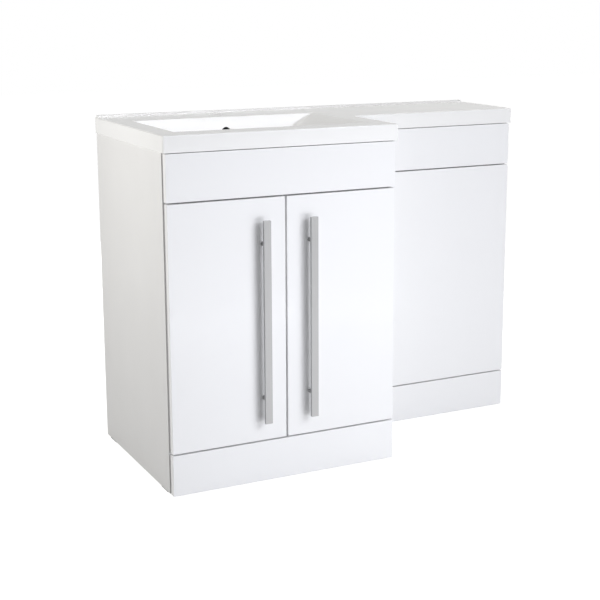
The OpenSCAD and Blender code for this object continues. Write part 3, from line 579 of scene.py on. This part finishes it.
# Handles: flat bars of steel, brushed along their length, on round posts.
# The ends and long edges are eased; two screws through the door hold each one.
brushed, tree, shader = surface("brushed_steel", (0.41, 0.41, 0.415), 0.36, metallic=1.0)
along_the_bar, bar_ease = (1, 1, 0.012), 0.0005
strokes = noise_on(tree, 1500, along_the_bar, 4.0).outputs["Fac"]
steel_grey = between(tree, strokes, (0.36, 0.36, 0.365), (0.46, 0.46, 0.465))
tree.links.new(steel_grey, shader.inputs["Base Color"])
tree.links.new(ranged(tree, strokes, 0.30, 0.44), shader.inputs["Roughness"])
relief(tree, shader, strokes, 0.000015)
for side in ("left", "right"):
    low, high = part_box(f"handle_bar_{side}")
    mesh = bmesh.new()
    block_mesh(mesh, low, high, bar_ease)
    bar = piece_from(mesh, f"bar_{side}")
    bar.data.materials.append(brushed)
    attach(bar, f"{side}_door")
    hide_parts(f"handle_bar_{side}")
    even_shading(bar)
    coat_nodes(brushed, f"handle_posts_{side}")
    coat_nodes(zinc, f"handle_screws_{side}")

# Hinges: nickel-plated pressings. The cups are let into the doors, the curved links turn on pins
# between the arms' cheeks, and the arms clip to plates screwed inside the cupboard.
nickel = plated_steel("nickel_plate", (0.66, 0.65, 0.63), 0.22)
coat_nodes(nickel, "hinge_cups_left", "hinge_cups_right", "hinge_arms", "hinge_plates")
coat_nodes(zinc, "hinge_links_left", "hinge_links_right", "hinge_pins", "hinge_screws")

# Small mouldings: nylon clips and spacers behind the panels, and soft clear buffers on the doors.
# All are pressed into place.
white_nylon = moulding("white_nylon", (0.84, 0.84, 0.82), 0.38, 0.00001)
coat_nodes(white_nylon, "panel_clips", "fascia_spacers")
soft_buffer = moulding("soft_buffer", (0.78, 0.79, 0.79), 0.30, 0.000005)
coat_nodes(soft_buffer, "door_buffers_left", "door_buffers_right")

# Glide feet: dark grey moulded pads with a slight grain.
# Two are pinned under each side panel, so that the cut edge stands clear of a wet floor.
coat_nodes(moulding("dark_glide", (0.050, 0.050, 0.054), 0.58, 0.00003), "glide_feet")

# The room: a plain white floor, a white surround, and soft lamps on every side and above.
# Only the high lamp in front shows in the gloss.
floor_mesh = bmesh.new()
bmesh.ops.create_grid(floor_mesh, x_segments=2, y_segments=2, size=12.0)
floor = piece_from(floor_mesh, "floor")
paper, tree, shader = surface("floor_white", (0.45, 0.45, 0.45), 0.9, specular=0.0)
seen = tree.nodes.new("ShaderNodeLightPath")
looked_at = reckoned(tree, "MAXIMUM", seen.outputs["Is Camera Ray"], seen.outputs["Is Glossy Ray"])
floor_glow = 0.92
shader.inputs["Emission Color"].default_value = (1, 1, 1, 1)
tree.links.new(ranged(tree, looked_at, 0, floor_glow, 0, 1), shader.inputs["Emission Strength"])
floor.data.materials.append(paper)

world = bpy.data.worlds.new("room")
bpy.context.scene.world = world
world.use_nodes = True
tree = world.node_tree
seen = tree.nodes.new("ShaderNodeLightPath")
in_gloss, in_shade, in_view = 0.62, 0.21, 1.0
strongest = reckoned(tree, "MULTIPLY", seen.outputs["Is Glossy Ray"], in_gloss)
for kind in ("Is Camera Ray", "Is Transmission Ray"):
    strongest = reckoned(tree, "MAXIMUM", strongest, seen.outputs[kind])
tree.links.new(ranged(tree, strongest, in_shade, in_view, 0, 1), tree.nodes["Background"].inputs["Strength"])
tree.nodes["Background"].inputs["Color"].default_value = (1, 1, 1, 1)


def soft_lamp(name, at, aim, size, power, colour, in_gloss=True):
    """A rectangular lamp at a place, turned towards a point."""
    lamp = bpy.data.lights.new(name, "AREA")
    lamp.color = colour
    lamp.shape = "RECTANGLE"
    lamp.size, lamp.size_y = size
    lamp.energy = power
    holder = bpy.data.objects.new(name, lamp)
    bpy.context.scene.collection.objects.link(holder)
    holder.location = at
    holder.rotation_euler = (Vector(aim) - Vector(at)).to_track_quat("-Z", "Y").to_euler()
    holder.visible_glossy = in_gloss


cool, warm = (0.945, 0.957, 1.0), (1.0, 0.985, 0.955)
soft_lamp("high_lamp", (0.7, -2.7, 1.6), (-1.2, -0.3, 0.45), (1.2, 1.2), 31.5, cool)
soft_lamp("front_lamp", (-0.05, -2.1, 0.22), (-0.1, -0.3, 0.15), (0.8, 0.7), 9.6, cool, in_gloss=False)
soft_lamp("side_lamp", (0.75, -2.1, 0.2), (-0.7, -0.4, 0.2), (0.7, 0.6), 6.2, cool, in_gloss=False)
soft_lamp("left_lamp", (-1.5, -0.3, 1.03), (-0.55, -0.25, 0.68), (0.6, 0.6), 8.1, warm, in_gloss=False)
soft_lamp("right_lamp", (2.0, 0.25, 1.1), (0.5, -0.2, 0.45), (1.0, 1.0), 13, warm, in_gloss=False)
soft_lamp("back_lamp", (0.2, 2.6, 0.8), (0.0, 0.0, 0.45), (1.6, 1.2), 36, warm, in_gloss=False)
soft_lamp("top_lamp", (0.45, 0.0, 2.3), (0.35, -0.1, 0.85), (1.2, 0.5), 9.2, warm, in_gloss=False)
